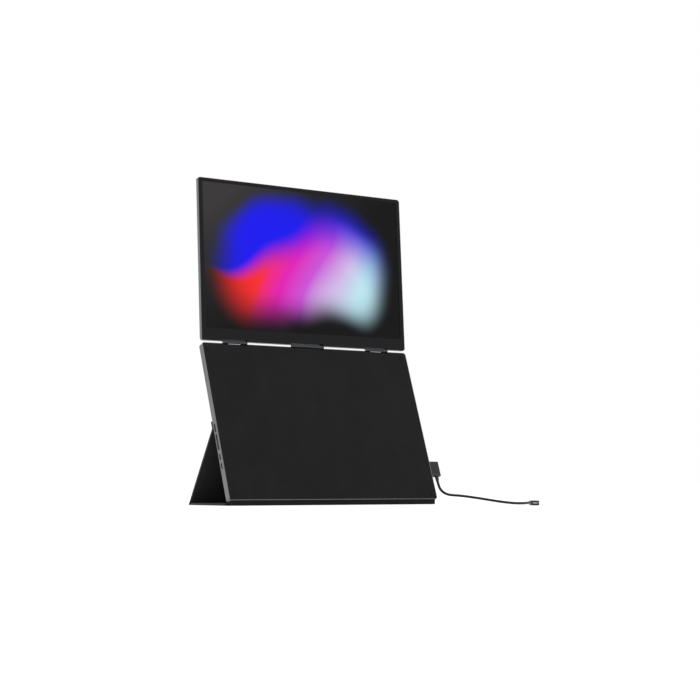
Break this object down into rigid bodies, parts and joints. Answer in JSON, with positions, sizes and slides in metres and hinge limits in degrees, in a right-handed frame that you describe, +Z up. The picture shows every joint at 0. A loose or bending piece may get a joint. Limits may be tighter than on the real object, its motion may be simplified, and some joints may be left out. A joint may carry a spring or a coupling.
{
  "type": "laptop screen extender",
  "caption": "Stacked laptop screen extender: a slab that leans on a folding back stand, with a flat display hinged to its top edge and a short link cable.",
  "frame": {"origin": "middle of the rubber foot strip's contact face, on the table", "axes": "+Z up, +X to the viewer's right along the hinge, the screen faces -Y"},
  "size_m": [0.4281, 0.325, 0.4739],
  "materials": {
    "grey_shell": "fine bead-blasted grey anodised",
    "black_cover": "soft black, very fine texture",
    "rubber": "matt black rubber",
    "circuit_board": "solder mask, satin",
    "ribbon": "amber film",
    "socket_steel": "drawn and plated",
    "black_plastic": "moulded black",
    "magnet": "nickel plated",
    "steel": "machined",
    "hinge_steel": "black finished steel",
    "plug_plastic": "moulded black, satin",
    "cable_jacket": "smooth black jacket",
    "button_black": "satin black",
    "bezel_black": "satin black",
    "screen_glass": "anti-glare panel face",
    "backlight_white": "white light guide",
    "stand_fabric": "black soft-touch folio skin"
  },
  "bodies": {
    "base": {"base_rear_shell": "grey_shell", "base_front_cover": "black_cover", "closing_bumpers": "rubber", "foot_strip": "rubber", "driver_board": "circuit_board", "io_board": "circuit_board", "board_ribbon": "ribbon", "left_usb_sockets": "socket_steel", "right_usb_socket": "socket_steel", "speaker_left": "black_plastic", "speaker_right": "black_plastic", "slab_magnets": "magnet", "rocker_pin": "steel", "button_board": "circuit_board", "button_switches": "black_plastic", "base_hinge_bracket_left": "hinge_steel", "base_hinge_bracket_right": "hinge_steel", "hinge_shaft_left": "steel", "hinge_shaft_right": "steel", "cable_guard": "black_plastic", "display_cable": "ribbon", "base_hinge_screws": "steel", "board_screws": "steel", "angled_plug": "plug_plastic", "angled_plug_tongue": "socket_steel", "link_cable": "cable_jacket", "straight_plug": "plug_plastic", "straight_plug_tongue": "socket_steel"},
    "power_button": {"power_button": "button_black"},
    "volume_rocker": {"volume_rocker": "button_black"},
    "display": {"display_rear_shell": "grey_shell", "display_bezel": "bezel_black", "lcd_panel": "screen_glass", "backlight_unit": "backlight_white", "panel_pads": "rubber", "timing_board": "circuit_board", "display_hinge_bracket_left": "hinge_steel", "display_hinge_bracket_right": "hinge_steel", "display_hinge_screws": "steel"},
    "stand_base_panel": {"stand_base_panel": "stand_fabric"},
    "stand_back_panel": {"stand_back_panel": "stand_fabric"},
    "stand_strip": {"stand_strip": "stand_fabric", "strip_magnets": "magnet"}
  },
  "joints": [
    {"name": "display_hinge", "type": "hinge", "parent": "base", "child": "display", "pos_m": [0, 0.07681, 0.23387], "axis": [1, 0, 0], "range_deg": [-16.5, 163.5]},
    {"name": "stand_fold", "type": "hinge", "parent": "base", "child": "stand_base_panel", "pos_m": [0, 0.00652, 0.0004], "axis": [1, 0, 0], "range_deg": [0, 70]},
    {"name": "foot_crease", "type": "hinge", "parent": "stand_base_panel", "child": "stand_back_panel", "pos_m": [0, 0.11202, 0.0004], "axis": [1, 0, 0], "range_deg": [-123.2, 0]},
    {"name": "strip_crease", "type": "hinge", "parent": "stand_back_panel", "child": "stand_strip", "pos_m": [0, 0.04546, 0.10738], "axis": [1, 0, 0], "range_deg": [0, 53.2]},
    {"name": "power_press", "type": "slide", "parent": "base", "child": "power_button", "axis": [1, 0, 0], "range_m": [0, 0.00035], "stiffness_N_per_m": 2000, "springref_m": -0.0002},
    {"name": "volume_rock", "type": "hinge", "parent": "base", "child": "volume_rocker", "pos_m": [-0.1751, 0.03029, 0.08852], "axis": [0, -0.9397, 0.342], "range_deg": [-2, 2], "stiffness_Nm_per_rad": 0.3}
  ],
  "couplings": [
    {"joint": "foot_crease", "follows": "stand_fold", "ratio": -1.7413},
    {"joint": "strip_crease", "follows": "stand_fold", "ratio": 0.74126}
  ]
}
